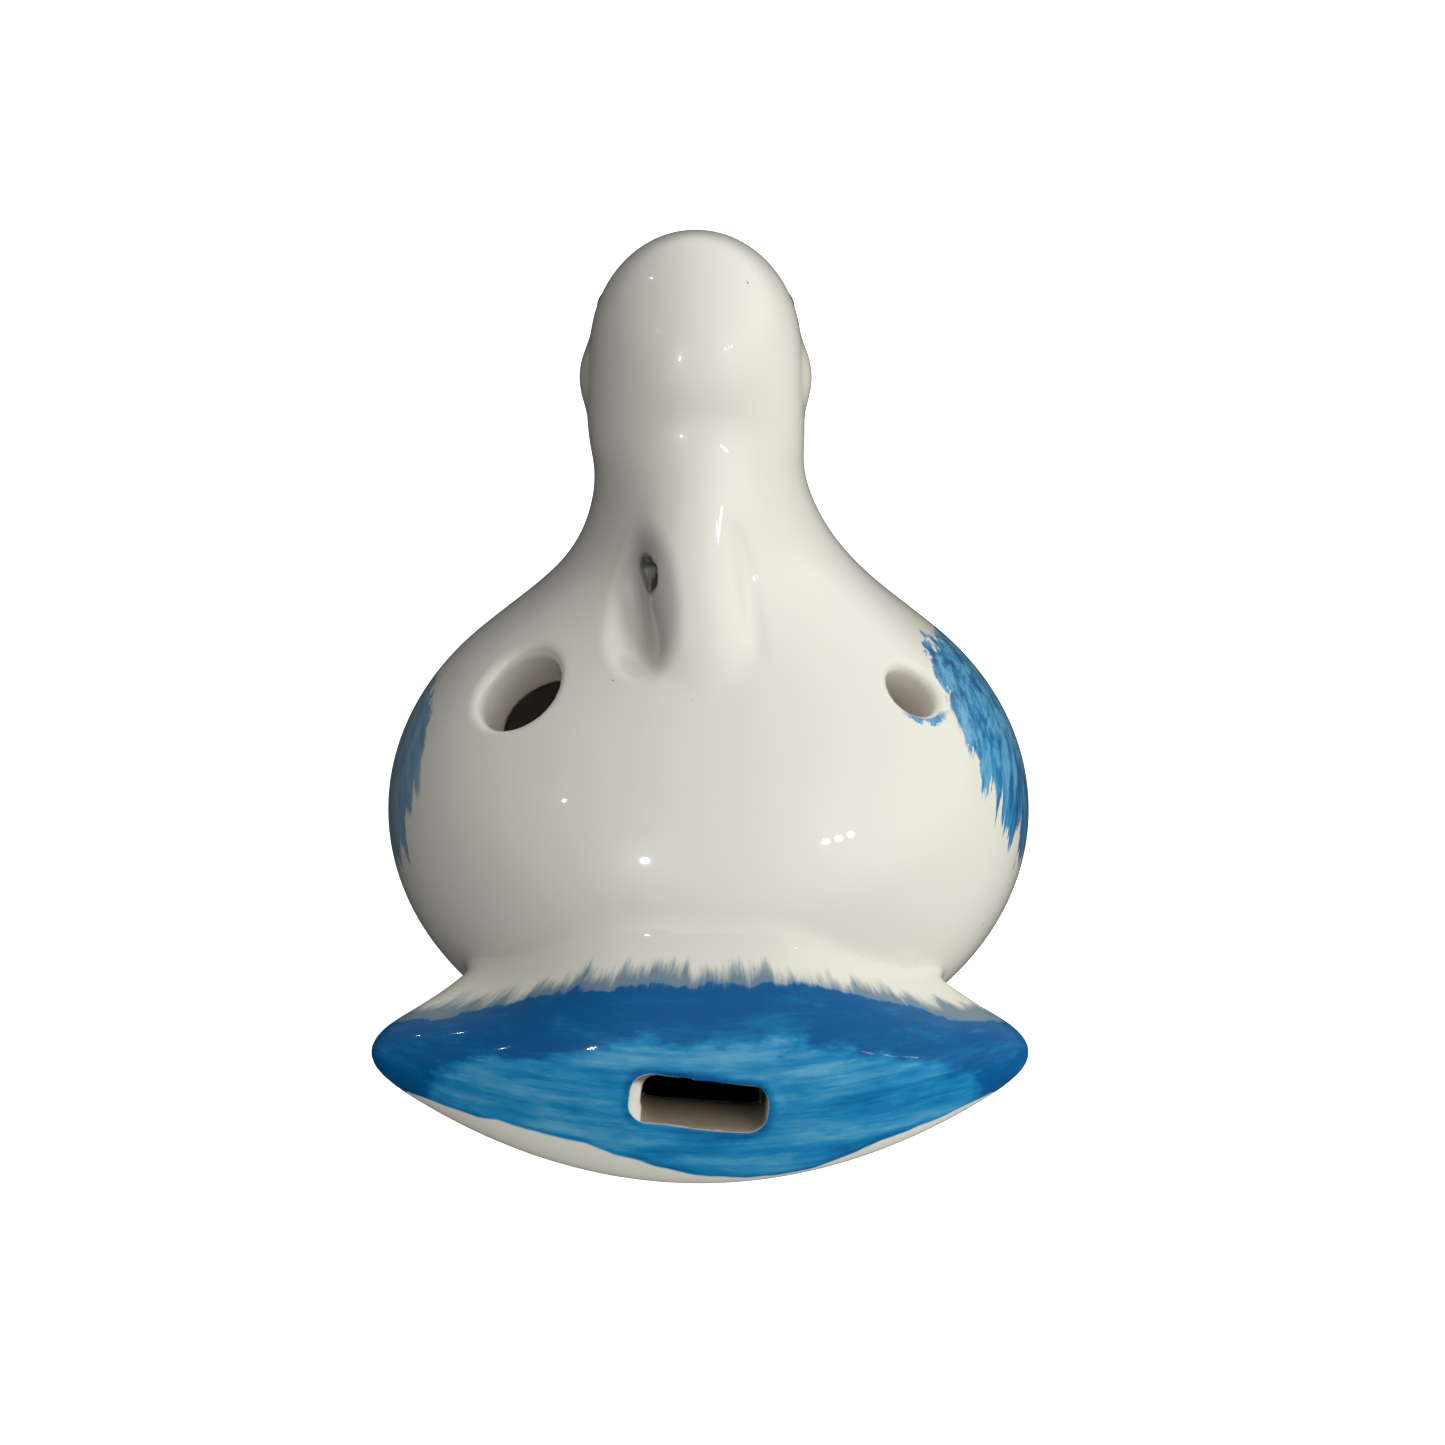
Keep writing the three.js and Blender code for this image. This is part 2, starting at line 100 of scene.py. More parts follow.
# Grid pitch of the meshes.
CLAY_PITCH = 0.45
BEAK_PITCH = 0.25
EYE_PITCH = 0.2


def soft_min(a, b, width):
    """The union of two fields, with a fillet where they are less than width apart."""
    near = np.maximum(width - np.abs(a - b), 0) / width
    return np.minimum(a, b) - near * near * width * 0.25


def soft_max(a, b, width):
    """The overlap of two fields, with a rounded edge; b negated cuts it away."""
    return -soft_min(-a, -b, width)


def ellipsoid(x, y, z, centre, radii):
    """About the distance from an ellipsoid, exact where it is a ball."""
    dx, dy, dz = x - centre[0], y - centre[1], z - centre[2]
    a, b, c = radii
    scaled = np.sqrt((dx / a) ** 2 + (dy / b) ** 2 + (dz / c) ** 2)
    slope = np.sqrt((dx / a ** 2) ** 2 + (dy / b ** 2) ** 2 + (dz / c ** 2) ** 2)
    return scaled * (scaled - 1) / np.maximum(slope, 1e-6)


def tapered_rod(x, y, z, start, end, start_radius, end_radius):
    """A rod with round ends between two points, thicker at one than at the other."""
    ax, ay, az = (end[i] - start[i] for i in range(3))
    dx, dy, dz = x - start[0], y - start[1], z - start[2]
    part = np.clip((dx * ax + dy * ay + dz * az) / (ax * ax + ay * ay + az * az), 0, 1)
    away = np.sqrt((dx - part * ax) ** 2 + (dy - part * ay) ** 2 + (dz - part * az) ** 2)
    return away - (start_radius + (end_radius - start_radius) * part)


def rounded_box(x, y, z, centre, half, radius):
    """A box of the given half sizes, with its edges rounded to the radius."""
    ax = np.abs(x - centre[0]) - half[0] + radius
    ay = np.abs(y - centre[1]) - half[1] + radius
    az = np.abs(z - centre[2]) - half[2] + radius
    outside = np.sqrt(np.maximum(ax, 0) ** 2 + np.maximum(ay, 0) ** 2 + np.maximum(az, 0) ** 2)
    return outside + np.minimum(np.maximum(ax, np.maximum(ay, az)), 0) - radius


def sway(z):
    """How far the bird's middle line stands to the right of the tail's, at a height."""
    t = np.clip((z - 38) / 17, 0, 1)
    return BODY_SWAY + (HEAD_SWAY - BODY_SWAY) * t * t * (3 - 2 * t)


def bird_field(x, y, z):
    """Body, neck, head and the two cheek mounds."""
    x = x - sway(z)
    body = ellipsoid(x, y, z, BODY_CENTRE, BODY_RADII)
    neck = tapered_rod(x, y, z, (0, 6.3, 32.3), (0, 14, 50), 10.4, 9.4)
    head = ellipsoid(x, y, z, HEAD_CENTRE, HEAD_RADII)
    cheek = ellipsoid(np.abs(x), y, z, (6.6, 18.4, 55.8), (4.1, 4.6, 4.8))
    nape = ellipsoid(x, y, z, (0, 7.5, 48), (6.5, 8, 8))
    upper = soft_min(soft_min(neck, head, 6), nape, 4)
    return soft_min(soft_min(body, upper, 12.1), cheek, 0.9)


def tail_field(x, y, z):
    """The fan tail: humped in the middle, keeled below, with a curved end face."""
    lift = math.radians(9.7)
    fan = math.radians(48.3)
    dy, dz = y + 29.6, z - 14.5
    rear = -dy * math.cos(lift) + dz * math.sin(lift)
    up = dy * math.sin(lift) + dz * math.cos(lift)
    side = np.abs(x)
    share = (side / 30.4) ** 2
    hump = (2.1 + 0.60 * np.maximum(y + 35, -3)) * np.exp(-(side / 16) ** 3)
    top = (up - 2.3 * (1 - share) - 2.05 - hump) * 0.88
    bottom = -up - 7.4 * (1 - share) - 2.05
    arc = np.sqrt(side ** 2 + (rear + 53.5) ** 2) - 61
    flank = (side - 30.4) * math.cos(fan) - (rear + 3.1) * math.sin(fan)
    upper = 3.5 + 3.5 * np.exp(-(side / 16) ** 2)
    return soft_max(soft_max(soft_max(arc, flank, 4.4), bottom, 4), top, upper)


def lug_frame(x, y, z):
    """Distances across the lug, along the nape and out from it, from the lug's eye."""
    dy, dz = y - LUG_EYE[0], z - LUG_EYE[1]
    along = dy * math.cos(LUG_LEAN) + dz * math.sin(LUG_LEAN)
    out = dz * math.cos(LUG_LEAN) - dy * math.sin(LUG_LEAN)
    return x + 0.9 + 0.13 * along, along, out


def lug_field(x, y, z):
    """The cord lug: a broad low strap, pinched out of the clay it stands on."""
    across, along, out = lug_frame(x, y, z)
    rise = out - 0.19 * along
    return ellipsoid(across, along, rise, (0.3, -1.5, -1.6), (4.1, 10.5, 3.2))


def lug_eye(across, along, out):
    """How far a point is from the axis of the lug's eye, less the eye's radius.

    It holds for fields and for materials alike. The axis sinks and the eye narrows
    to the right.
    """
    longways = (along - LUG_EYE_ALONG) * (1 / LUG_EYE_STRETCH)
    outwards = out + 1.0 + across * 0.08
    return (longways * longways + outwards * outwards) ** 0.5 - LUG_EYE_RADIUS + across * 0.03


def lug_hollows(x, y, z):
    """The hollows pressed in beside the lug, and the eye, which opens in the left one."""
    across, along, out = lug_frame(x, y, z)
    rise = out - 0.19 * along
    left = ellipsoid(across, along, rise, (-5.4, -1.0, 1.6), (4.2, 7.2, 4.7))
    right = ellipsoid(across, along, rise, (5.4, -0.8, 1.6), (1.6, 5.5, 2.2))
    eye = np.maximum(lug_eye(across, along, out), np.abs(across + 1.4) - 3.8)
    return left, right, eye


def hole_field(x, y, z, hole):
    """A finger hole: a straight bore that ends 8 mm inside the mouth of the hole."""
    centre, axis, radius, _ = hole
    size = math.sqrt(sum(a * a for a in axis))
    ax, ay, az = (a / size for a in axis)
    dx, dy, dz = x - centre[0], y - centre[1], z - centre[2]
    along = dx * ax + dy * ay + dz * az
    away = np.sqrt(np.maximum(dx * dx + dy * dy + dz * dz - along * along, 0))
    return soft_max(away - radius, -along - 8, 0.5)


def mouth_frame(x, z):
    """Distances across and up in the mouth, which was cut a little askew."""
    dz = z - MOUTH_Z
    cos, sin = math.cos(MOUTH_TILT), math.sin(MOUTH_TILT)
    return x * cos - dz * sin, x * sin + dz * cos


def windway_field(x, y, z):
    """The mouth pocket, the funnel behind it and the slit that aims at the labium."""
    px, pz = mouth_frame(x, z)
    pocket = rounded_box(px - 0.3, y, pz, (0, -38.2, 0), (5.4, 7, 2.05), 1.2)
    bevel = rounded_box(px + 3.0, y, pz - 0.2, (0, -42.9, 0), (3.1, 7, 2.1), 1.5)
    middle = z - MOUTH_Z + WINDWAY_SLOPE * (y - MOUTH_Y)
    part = np.clip((y + 32) / 5, 0, 1)
    half = 1.8 - 1.0 * part
    funnel = rounded_box(x, y, middle, (0, -26, 0), (5.2, 6.0, 0.8), 0.5) - (half - 0.8)
    return soft_min(soft_min(pocket, funnel, 1.2), bevel, 0.6)


def window_field(x, y, z):
    """The window under the tail root and the ramp that sharpens the labium."""
    shaft = rounded_box(x, y, z, (0, -21.6, 3.6), (5, 3, 8.6), 0.5)
    edge_z = MOUTH_Z - WINDWAY_SLOPE * (LABIUM_Y - MOUTH_Y) - 0.4
    slope = edge_z / 9.0
    under = (z - edge_z + slope * (y - LABIUM_Y)) / math.sqrt(1 + slope * slope)
    before, beyond = LABIUM_Y - 0.5 - y, y - LABIUM_Y - 9
    ramp = np.maximum(np.maximum(under, np.abs(x) - 5), np.maximum(before, beyond))
    return np.minimum(shaft, ramp)


def chamber_field(x, y, z):
    """The hollow inside; the wall is thicker at the finger holes and behind the lug."""
    wall = WALL
    for centre, _, radius, _ in (LEFT_HOLE, RIGHT_HOLE):
        away = sum((p - c) ** 2 for p, c in zip((x, y, z), centre))
        wall = wall + 2.6 * np.exp(-away / (radius + 4) ** 2)
    away = x ** 2 + (y - LUG_EYE[0]) ** 2 + (z - LUG_EYE[1]) ** 2
    wall = wall + 2.5 * np.exp(-away / 100)
    return soft_max(bird_field(x, y, z) + wall, WALL - z, FOOT_EDGE)


def clay_field(x, y, z):
    """The whole fired bird, hollow, with every opening."""
    bird = bird_field(x, y, z)
    left, right, eye = lug_hollows(x, y, z)
    near_tail = np.clip((24 - np.abs(x)) / 16, 0, 1)
    solid = soft_min(bird, tail_field(x, y, z), 1.3 + 0.7 * near_tail)
    solid = soft_max(soft_max(solid, -left, 1.2), -right, 1.2)
    solid = soft_min(solid, lug_field(x, y, z), 1.8)
    solid = soft_max(solid, -eye, 0.4)
    solid = soft_max(solid, -z, FOOT_EDGE)
    for hole in (LEFT_HOLE, RIGHT_HOLE):
        solid = soft_max(solid, -hole_field(x, y, z, hole), hole[3])
    solid = soft_max(solid, -windway_field(x, y, z), 0.5)
    solid = soft_max(solid, -window_field(x, y, z), 0.5)
    return soft_max(solid, -chamber_field(x, y, z), 0.5)


def beak_field(x, y, z):
    """A short blunt dove's beak, with a groove where the two halves meet."""
    x = x - HEAD_SWAY
    part = np.clip((y - 24) / 13.2, 0, 1)
    middle = 57 - 2.4 * part ** 1.6
    wide = 4.4 * np.sqrt(np.maximum(1 - part ** 2.2, 0.01)) * (1 - 0.35 * part)
    tall = 3.6 * np.sqrt(np.maximum(1 - part ** 2.2, 0.01))
    round_ = np.sqrt((x / wide) ** 2 + ((z - middle) / tall) ** 2) - 1
    cone = round_ * np.minimum(wide, tall) * 0.8
    cone = soft_max(cone, np.abs(y - 30.4) - 6.7, 1.4)
    seam = np.sqrt((z - middle + 0.7) ** 2 + 0.01) - 0.16
    seam = np.maximum(seam, 29.5 - y)
    cone = soft_max(cone, -soft_max(seam, -cone - 0.45, 0.2), 0.35)
    nostril = ellipsoid(np.abs(x), y, z, (1.9, 31.4, 58.7), (0.5, 1.0, 0.5))
    return soft_max(cone, -nostril, 0.4)


def eye_middle(side):
    """The middle of the eye on the bird's left, side -1, or right, side 1."""
    return (HEAD_SWAY + EYE[0] * side, EYE[1], EYE[2])


def eye_field(side):
    """A bead of dark glaze that stands a little out of the cheek."""
    def field(x, y, z):
        away = sum((p - m) ** 2 for p, m in zip((x, y, z), eye_middle(side)))
        ball = np.sqrt(away) - EYE_RADIUS
        return soft_max(ball, -bird_field(x, y, z) - 0.8, 0.4)
    return field


# ---------------------------------------------------------------------------
# Meshing a field
# ---------------------------------------------------------------------------

def sample(field, axes):
    """The field's values on a grid, worked out a few slices at a time to save memory."""
    xs, ys, zs = (a.astype(np.float32) for a in axes)
    values = np.empty((len(xs), len(ys), len(zs)), np.float32)
    for i in range(0, len(xs), 8):
        grid = np.meshgrid(xs[i:i + 8], ys, zs, indexing="ij")
        values[i:i + 8] = field(*grid)
    return values


def shifted(array, axis, offsets):
    """The part of a grid that lies at the given corner of every cell."""
    cut = [slice(o, o - 1 or None) for o in offsets]
    if axis is not None:
        cut[axis] = slice(None)
    return array[tuple(cut)]


def cell_points(values, inside):
    """One point in each cell that the surface crosses: the mean of its edge crossings."""
    shape = tuple(n - 1 for n in values.shape)
    total = np.zeros(shape + (3,), np.float32)
    count = np.zeros(shape, np.float32)
    for axis in range(3):
        others = [a for a in range(3) if a != axis]
        for i in (0, 1):
            for j in (0, 1):
                low, high = [0, 0, 0], [0, 0, 0]
                low[others[0]] = high[others[0]] = i
                low[others[1]] = high[others[1]] = j
                high[axis] = 1
                a, b = shifted(values, None, low), shifted(values, None, high)
                cross = shifted(inside, None, low) != shifted(inside, None, high)
                part = np.where(cross, a / np.where(cross, a - b, 1), 0)
                total[..., others[0]] += cross * i
                total[..., others[1]] += cross * j
                total[..., axis] += part
                count += cross
    active = count > 0
    return active, np.argwhere(active) + total[active] / count[active][:, None]


def quads_between(active, inside):
    """A quad round every grid edge that the surface crosses, wound to face outwards."""
    index = -np.ones(active.shape, int)
    index[active] = np.arange(active.sum())
    quads = []
    for axis in range(3):
        o0, o1 = [a for a in range(3) if a != axis]
        low, high = [slice(1, -1)] * 3, [slice(1, -1)] * 3
        low[axis], high[axis] = slice(0, -1), slice(1, None)
        a, b = inside[tuple(low)], inside[tuple(high)]
        edge = np.argwhere(a != b)
        leaving = a[tuple(edge.T)]
        edge[:, o0] += 1
        edge[:, o1] += 1
        ring = []
        for d0, d1 in ((1, 1), (0, 1), (0, 0), (1, 0)):
            cell = edge.copy()
            cell[:, o0] -= d0
            cell[:, o1] -= d1
            ring.append(index[tuple(cell.T)])
        quad = np.stack(ring, 1)
        keep = leaving if axis != 1 else ~leaving
        quads.append(np.where(keep[:, None], quad, quad[:, ::-1]))
    return np.concatenate(quads)


def slope_of(field, points, reach=0.04):
    """The direction in which the field grows, and how fast."""
    slope = np.empty_like(points)
    for axis in range(3):
        step = np.zeros(3)
        step[axis] = reach
        ahead, behind = points + step, points - step
        slope[:, axis] = (field(*ahead.T) - field(*behind.T)) / (2 * reach)
    return slope


def settle(field, points, pitch):
    """Moves the points on to the zero level of the field."""
    for _ in range(4):
        slope = slope_of(field, points)
        size = np.maximum((slope ** 2).sum(1), 0.05)
        move = -field(*points.T)[:, None] * slope / size[:, None]
        length = np.linalg.norm(move, axis=1, keepdims=True)
        points = points + move * np.minimum(1, 0.4 * pitch / np.maximum(length, 1e-9))
    return points


def surface(field, low, high, pitch):
    """The zero level of a field inside a box: its points, quads and normals."""
    axes = [np.arange(a, b + pitch, pitch) for a, b in zip(low, high)]
    values = sample(field, axes)
    inside = values < 0
    active, cells = cell_points(values, inside)
    quads = quads_between(active, inside)
    points = settle(field, np.array(low) + cells * pitch, pitch)
    normals = slope_of(field, points)
    normals /= np.maximum(np.linalg.norm(normals, axis=1, keepdims=True), 1e-9)
    return points, quads, normals


def piece_from(name, points, quads, normals, material, node, slot):
    """Makes one visible piece that stands for one CAD node."""
    used, faces = np.unique(quads, return_inverse=True)
    faces = faces.reshape(quads.shape)
    mesh = bpy.data.meshes.new(name)
    place = points[used] * MM + np.array(ORIGIN)
    mesh.from_pydata(place.tolist(), [], faces.tolist())
    mesh.polygons.foreach_set("use_smooth", np.ones(len(faces), bool))
    mesh.normals_split_custom_set_from_vertices(normals[used].tolist())
    mesh.materials.append(material)
    piece = bpy.data.objects.new(name, mesh)
    bpy.context.scene.collection.objects.link(piece)
    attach(piece, "root")
    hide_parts(node)
    return piece


# ---------------------------------------------------------------------------
# Procedural materials
# ---------------------------------------------------------------------------

class Value:
    """A number that varies over the surface."""

    def __init__(self, graph, socket):
        self.graph = graph
        self.socket = socket

    def __add__(self, other):
        return self.graph.math("ADD", self, other)

    def __sub__(self, other):
        return self.graph.math("SUBTRACT", self, other)

    def __rsub__(self, other):
        return self.graph.math("SUBTRACT", other, self)

    def __mul__(self, other):
        return self.graph.math("MULTIPLY", self, other)

    def __pow__(self, other):
        return self.graph.math("POWER", self, other)

    __radd__ = __add__
    __rmul__ = __mul__

    def at_least(self, other):
        return self.graph.math("MAXIMUM", self, other)

    def at_most(self, other):
        return self.graph.math("MINIMUM", self, other)

    def size(self):
        return self.graph.math("ABSOLUTE", self)

    def root(self):
        return self.graph.math("SQRT", self)

    def step(self, start, end):
        """0 below start, 1 above end, smooth between."""
        node = self.graph.node("ShaderNodeMapRange")
        node.interpolation_type = "SMOOTHSTEP"
        self.graph.feed(node.inputs["Value"], self)
        flip = start > end
        node.inputs["From Min"].default_value = min(start, end)
        node.inputs["From Max"].default_value = max(start, end)
        node.inputs["To Min"].default_value = 1 if flip else 0
        node.inputs["To Max"].default_value = 0 if flip else 1
        return Value(self.graph, node.outputs["Result"])


class Graph:
    """Builds one material's nodes."""

    def __init__(self, name):
        self.material = bpy.data.materials.new(name)
        self.material.use_nodes = True
        self.tree = self.material.node_tree
        self.shader = self.tree.nodes["Principled BSDF"]
        place = self.node("ShaderNodeTexCoord")
        moved = self.node("ShaderNodeVectorMath")
        moved.operation = "SUBTRACT"
        self.tree.links.new(place.outputs["Object"], moved.inputs[0])
        moved.inputs[1].default_value = ORIGIN
        scaled = self.node("ShaderNodeVectorMath")
        scaled.operation = "SCALE"
        self.tree.links.new(moved.outputs[0], scaled.inputs[0])
        scaled.inputs["Scale"].default_value = 1 / MM
        parts = self.node("ShaderNodeSeparateXYZ")
        self.tree.links.new(scaled.outputs[0], parts.inputs[0])
        self.x, self.y, self.z = (Value(self, parts.outputs[i]) for i in range(3))

    def node(self, kind):
        return self.tree.nodes.new(kind)

    def feed(self, socket, value):
        if isinstance(value, Value):
            self.tree.links.new(value.socket, socket)
        else:
            socket.default_value = value

    def math(self, operation, *values):
        node = self.node("ShaderNodeMath")
        node.operation = operation
        for socket, value in zip(node.inputs, values):
            self.feed(socket, value)
        return Value(self, node.outputs[0])

    def noise(self, x, y, z, detail=2.0, rough=0.5):
        """Cloudy noise from 0 to 1 at the given coordinates."""
        joined = self.node("ShaderNodeCombineXYZ")
        for socket, value in zip(joined.inputs, (x, y, z)):
            self.feed(socket, value)
        node = self.node("ShaderNodeTexNoise")
        node.inputs["Scale"].default_value = 1.0
        node.inputs["Detail"].default_value = detail
        node.inputs["Roughness"].default_value = rough
        self.tree.links.new(joined.outputs[0], node.inputs["Vector"])
        return Value(self, node.outputs[0])

    def specks(self, pitch, radius, share):
        """Small round dots, one in some of the cells of the given size."""
        joined = self.node("ShaderNodeCombineXYZ")
        for socket, value in zip(joined.inputs, (self.x, self.y, self.z)):
            self.feed(socket, value * (1 / pitch))
        node = self.node("ShaderNodeTexVoronoi")
        node.inputs["Scale"].default_value = 1.0
        self.tree.links.new(joined.outputs[0], node.inputs["Vector"])
        split = self.node("ShaderNodeSeparateColor")
        self.tree.links.new(node.outputs["Color"], split.inputs[0])
        near = Value(self, node.outputs["Distance"]).step(radius / pitch, 0.6 * radius / pitch)
        return near * Value(self, split.outputs[0]).step(1 - share, 1.001 - share)

    def blend(self, part, start, end):
        """A colour between two colours; either may be plain or a socket."""
        node = self.node("ShaderNodeMix")
        node.data_type = "RGBA"
        self.feed(node.inputs[0], part)
        for socket, colour in ((node.inputs[6], start), (node.inputs[7], end)):
            if isinstance(colour, bpy.types.NodeSocket):
                self.tree.links.new(colour, socket)
            else:
                socket.default_value = (*linear(colour), 1)
        return node.outputs[2]

    def bump(self, height, distance, strength):
        node = self.node("ShaderNodeBump")
        node.inputs["Strength"].default_value = strength
        node.inputs["Distance"].default_value = distance
        self.feed(node.inputs["Height"], height)
        self.tree.links.new(node.outputs[0], self.shader.inputs["Normal"])

    def finish(self, colour, roughness, coat, coat_roughness, coat_ior=1.5):
        self.tree.links.new(colour, self.shader.inputs["Base Color"])
        self.feed(self.shader.inputs["Roughness"], roughness)
        self.shader.inputs["Coat Weight"].default_value = coat
        self.shader.inputs["Coat Roughness"].default_value = coat_roughness
        self.shader.inputs["Coat IOR"].default_value = coat_ior
        self.shader.inputs["IOR"].default_value = 1.5
        return self.material


def linear(colour):
    """Screen colour, 0 to 255, as linear light."""
    return [(c / 255 / 12.92) if c < 10.3 else ((c / 255 + 0.055) / 1.055) ** 2.4 for c in colour]


def tail_paint(g):
    """How much blue lies on the tail, how thick it is, and where it is a second coat."""
    arc = (g.x * g.x + (g.y - 23.5) * (g.y - 23.5)).root()
    turn = g.math("ARCTAN2", g.x, g.y * -1 - 5) * 20
    side = (g.x.size() - 14).at_least(0).at_most(9)
    clump = g.noise(turn * 0.20, 1.0, 3.0, 2, 0.5)
    wisp = g.noise(turn * 1.0 + arc * 0.1, arc * 0.16, 7.0, 4, 0.66)
    tips = arc - 51.7 - side * side * 0.020 + (clump - 0.5) * 4.0 + (wisp - 0.5) * 5.0
    blot = g.noise(turn * 0.16, arc * 0.2, 9.0, 3, 0.6)
    second = arc - 53.3 - side * side * 0.028 + (blot - 0.5) * 3.2 + (wisp - 0.5) * 1.6
    wave = g.noise(g.x * 0.16, 5.0, 1.0, 2, 0.5)
    low = (g.x - 5) * (g.x - 5) * -0.0062
    border = 12.5 - g.math("EXPONENT", low) * 4.4 + (wave - 0.5) * 1.6
    border = border - (g.x.size() - 26).at_least(0) * 1.2
    above = g.z - border
    rim = slot_edge(g)
    mask = (tips.step(-0.3, 1.6) * 0.85).at_least(second.step(-0.4, 0.5))
    mask = mask * above.step(-0.15, 0.15) * (1 - slot_inside(g)[0])
    ragged = g.noise(g.x * 0.13, arc * 0.5, 2.0, 4, 0.65)
    edge = arc - 57.5 - g.x * g.x * 0.005 + (ragged - 0.5) * 3.6
    cloud = g.noise(g.x * 0.10, g.z * 0.30 + 4, arc * 0.35, 4, 0.62)
    streak = g.noise(g.x * 0.06, arc * 1.1, g.z * 1.2, 4, 0.68)
    fine = g.noise(g.x * 0.5, arc * 2.4, g.z * 2.6, 3, 0.65)
    band = edge.step(0.45, -0.45)
    pool = above.step(0.9, 0.1) * 0.22 + rim.step(0.9, 0.1) * 0.25
    thick = 0.24 + band * 0.50 + pool * (1 - band)
    thick = thick + (cloud - 0.5) * (1.3 - band * 0.5) + (fine - 0.5) * 0.3
    thick = thick + (streak - 0.5) * (0.85 - band * 0.4)
    return mask, thick, second.step(-0.5, 0.7)


def slot_edge(g):
    """Distance outside the rim of the mouth, seen along the bird."""
    across, up = mouth_frame(g.x, g.z)
    wide = ((across + 0.12).size() - 4.4).at_least(0)
    tall = (up.size() - 0.5).at_least(0)
    return (wide * wide + tall * tall).root() - 1.8


def slot_inside(g):
    """Where the mouth's inside is, where that is bare clay with painted shade, and how deep it
    is.
    """
    across, up = mouth_frame(g.x, g.z)
    behind = (g.y + 35.0).step(-0.2, 0.2) * up.step(1.9, 1.7) * across.size().step(5.9, 5.7)
    inside = slot_edge(g).step(-0.04, -0.16).at_least(behind) * (g.y + 24).step(1, -1)
    deep = g.y + 37.9
    ledge = (across + 5.05).step(0.1, -0.1) * deep.step(2.3, 2.0)
    return inside, inside * (1 - ledge), deep


def wing_paint(g, side):
    """The painted wing of one side, brushed from the shoulder down and back."""
    middle_z, half_y, half_z = (21.5, 14.2, 15.1) if side > 0 else (19.5, 14.6, 12.6)
    reach = 1.0 if side > 0 else 0.8
    along = g.y * -0.84 - g.z * 0.50 - g.x * (0.20 * side)
    one = g.x * side + along * 0.20
    two = g.z * 0.86 - g.y * 0.51
    brush = g.noise(one * 0.62, two * 0.62, along * 0.035 + 11 + side, 4, 0.72)
    slip = (brush - 0.5) * 19 * reach * (g.y - g.z * 0.3).step(3, -9).at_least(0.12)
    low = (g.z * -1 + 22).at_least(0)
    dy = (g.y + slip * 0.84 - 4.2 - low * 0.7) * (1 / half_y)
    droop = (g.y - 2).at_least(0) * 0.30
    dz = (g.z + slip * 0.50 + droop - middle_z) * (1 / half_z)
    field = (1 - (dy.size() ** 2.6 + dz.size() ** 2.6) ** 0.385) * 13
    flank = (g.x * side - low * low * 0.03).step(14, 15)
    mask = field.step(-0.10, 0.30) * flank * (1.0 if side > 0 else 0.8)
    streak = g.noise(one * 0.85, two * 0.85, along * 0.05 + 17 + side, 4, 0.7)
    cloud = g.noise(g.x * 0.12, g.y * 0.12, g.z * 0.12 + side, 2, 0.5)
    thick = 0.27 + (streak - 0.5) * 3.6 + (cloud - 0.5) * 0.6
    return mask, thick


def hole_paint(g, mask):
    """Keeps the blue off the right finger hole, but for a few strokes below it."""
    hx, hy, hz = RIGHT_HOLE[0]
    ax, ay, az = RIGHT_HOLE[1]
    dx, dy, dz = g.x - hx, g.y - hy, g.z - hz
    deep = dx * ax + dy * ay + dz * az
    away = (dx * dx + dy * dy + dz * dz - deep * deep).at_least(0).root()
    up = dy * 0.62 + dz * 0.78
    ragged = g.noise(g.x * 0.9, g.y * 0.5, g.z * 0.5, 3, 0.6)
    clear = 2.9 + up.step(-2.4, 0.2) * 0.9 + (ragged - 0.5) * 1.6
    kept = mask * (away - clear).step(-0.12, 0.12) * (away - 3.1).step(-0.1, 0.1)
    drip = (away - 3.1).step(-0.1, 0.1) * (away - 3.8 - (ragged - 0.5) * 3).step(0.15, -0.15)
    return kept.at_least(drip * up.step(-1.6, -2.2) * dx.step(-1.5, 0.2))


def lug_painted_shade(g):
    """Painted shade: the hollow at the left of the cord lug, and the lug's eye, darkened in
    colour where they lie in shade.
    """
    across, along, out = lug_frame(g.x, g.y, g.z)
    wide = (across + 3.9) * (1 / 3.4)
    length = (along + 1.0) * (1 / 7.4)
    back = (g.y - 8).step(1, -1) * (g.z - 36).step(0, 2)
    # Painted shade: the hollow left of the lug is greyed where it lies in shade.
    hollow = (wide * wide + length * length).root().step(1.05, 0.55) * back
    # Painted shade: the lug's eye is darkened where it opens on the left.
    dark = lug_eye(across, along, out).step(0.45, 0.05) * across.step(3.4, 3.0)
    return hollow, dark


